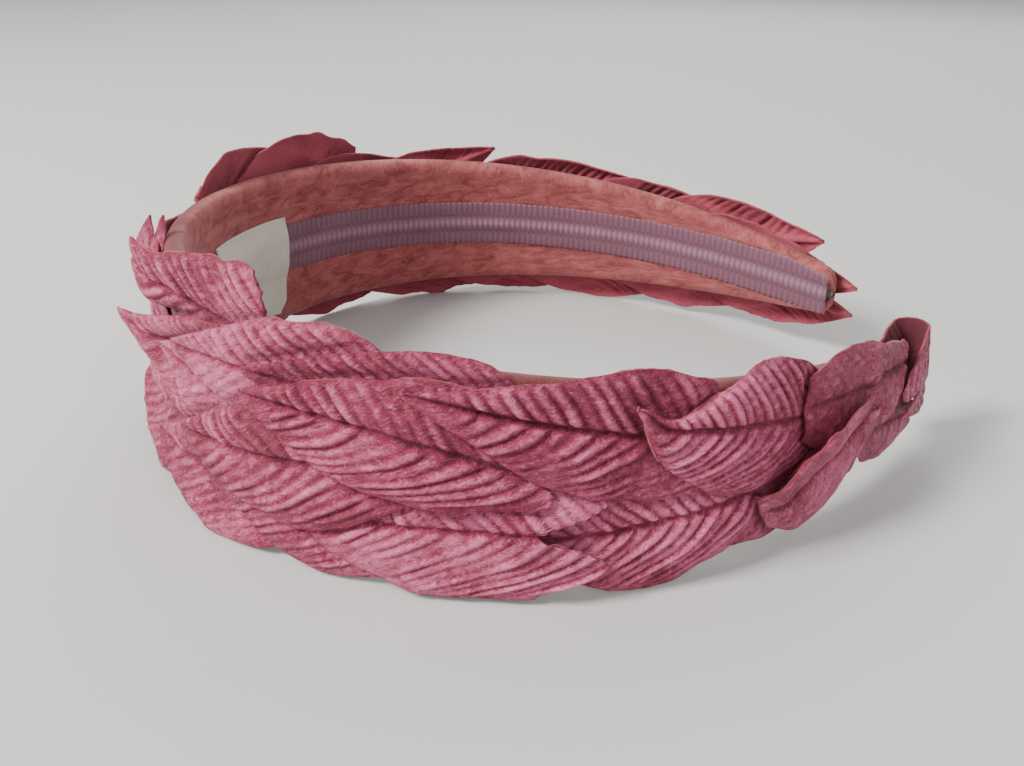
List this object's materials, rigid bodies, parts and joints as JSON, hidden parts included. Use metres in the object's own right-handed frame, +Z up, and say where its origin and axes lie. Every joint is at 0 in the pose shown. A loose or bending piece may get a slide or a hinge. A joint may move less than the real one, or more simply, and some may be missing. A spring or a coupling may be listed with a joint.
{
  "type": "headband",
  "caption": "Wide fabric headband, an almost closed C, covered outside with overlapping embossed velvet leaves and lined inside with ribbon; lying on its edge.",
  "frame": {"origin": "centre of the bounding box at its base, under the band as it lies on its edge", "axes": "+X from the crown to the open ends, +Y from the near arm to the far arm, +Z up across the band's width"},
  "size_m": [0.156, 0.1382, 0.0495],
  "materials": {
    "velvet_leaf": "embossed rose velvet with a silvery sheen",
    "sleeve_fabric": "coral brushed satin with a low nap",
    "ribbon": "mauve ribbed ribbon with a raised middle cord",
    "label": "plain woven cream tape",
    "core_plastic": "moulded, hidden inside the sleeve"
  },
  "bodies": {
    "root": {"band_core": "core_plastic", "end_wrap_leaf": "velvet_leaf", "fabric_cover": "sleeve_fabric", "leaf_lower_01": "velvet_leaf", "leaf_lower_02": "velvet_leaf", "leaf_lower_03": "velvet_leaf", "leaf_lower_04": "velvet_leaf", "leaf_lower_05": "velvet_leaf", "leaf_lower_06": "velvet_leaf", "leaf_lower_07": "velvet_leaf", "leaf_lower_08": "velvet_leaf", "leaf_lower_09": "velvet_leaf", "leaf_lower_10": "velvet_leaf", "leaf_lower_11": "velvet_leaf", "leaf_lower_12": "velvet_leaf", "leaf_lower_13": "velvet_leaf", "leaf_lower_14": "velvet_leaf", "leaf_lower_15": "velvet_leaf", "leaf_lower_16": "velvet_leaf", "leaf_middle_01": "velvet_leaf", "leaf_middle_02": "velvet_leaf", "leaf_middle_03": "velvet_leaf", "leaf_middle_04": "velvet_leaf", "leaf_middle_05": "velvet_leaf", "leaf_middle_06": "velvet_leaf", "leaf_middle_07": "velvet_leaf", "leaf_middle_08": "velvet_leaf", "leaf_middle_09": "velvet_leaf", "leaf_middle_10": "velvet_leaf", "leaf_middle_11": "velvet_leaf", "leaf_middle_12": "velvet_leaf", "leaf_upper_01": "velvet_leaf", "leaf_upper_02": "velvet_leaf", "leaf_upper_03": "velvet_leaf", "leaf_upper_04": "velvet_leaf", "leaf_upper_05": "velvet_leaf", "leaf_upper_06": "velvet_leaf", "leaf_upper_07": "velvet_leaf", "leaf_upper_08": "velvet_leaf", "leaf_upper_09": "velvet_leaf", "leaf_upper_10": "velvet_leaf", "leaf_upper_11": "velvet_leaf", "leaf_upper_12": "velvet_leaf", "leaf_upper_13": "velvet_leaf", "leaf_upper_14": "velvet_leaf", "leaf_upper_15": "velvet_leaf", "lining_ribbon": "ribbon", "woven_label": "label"}
  },
  "joints": []
}
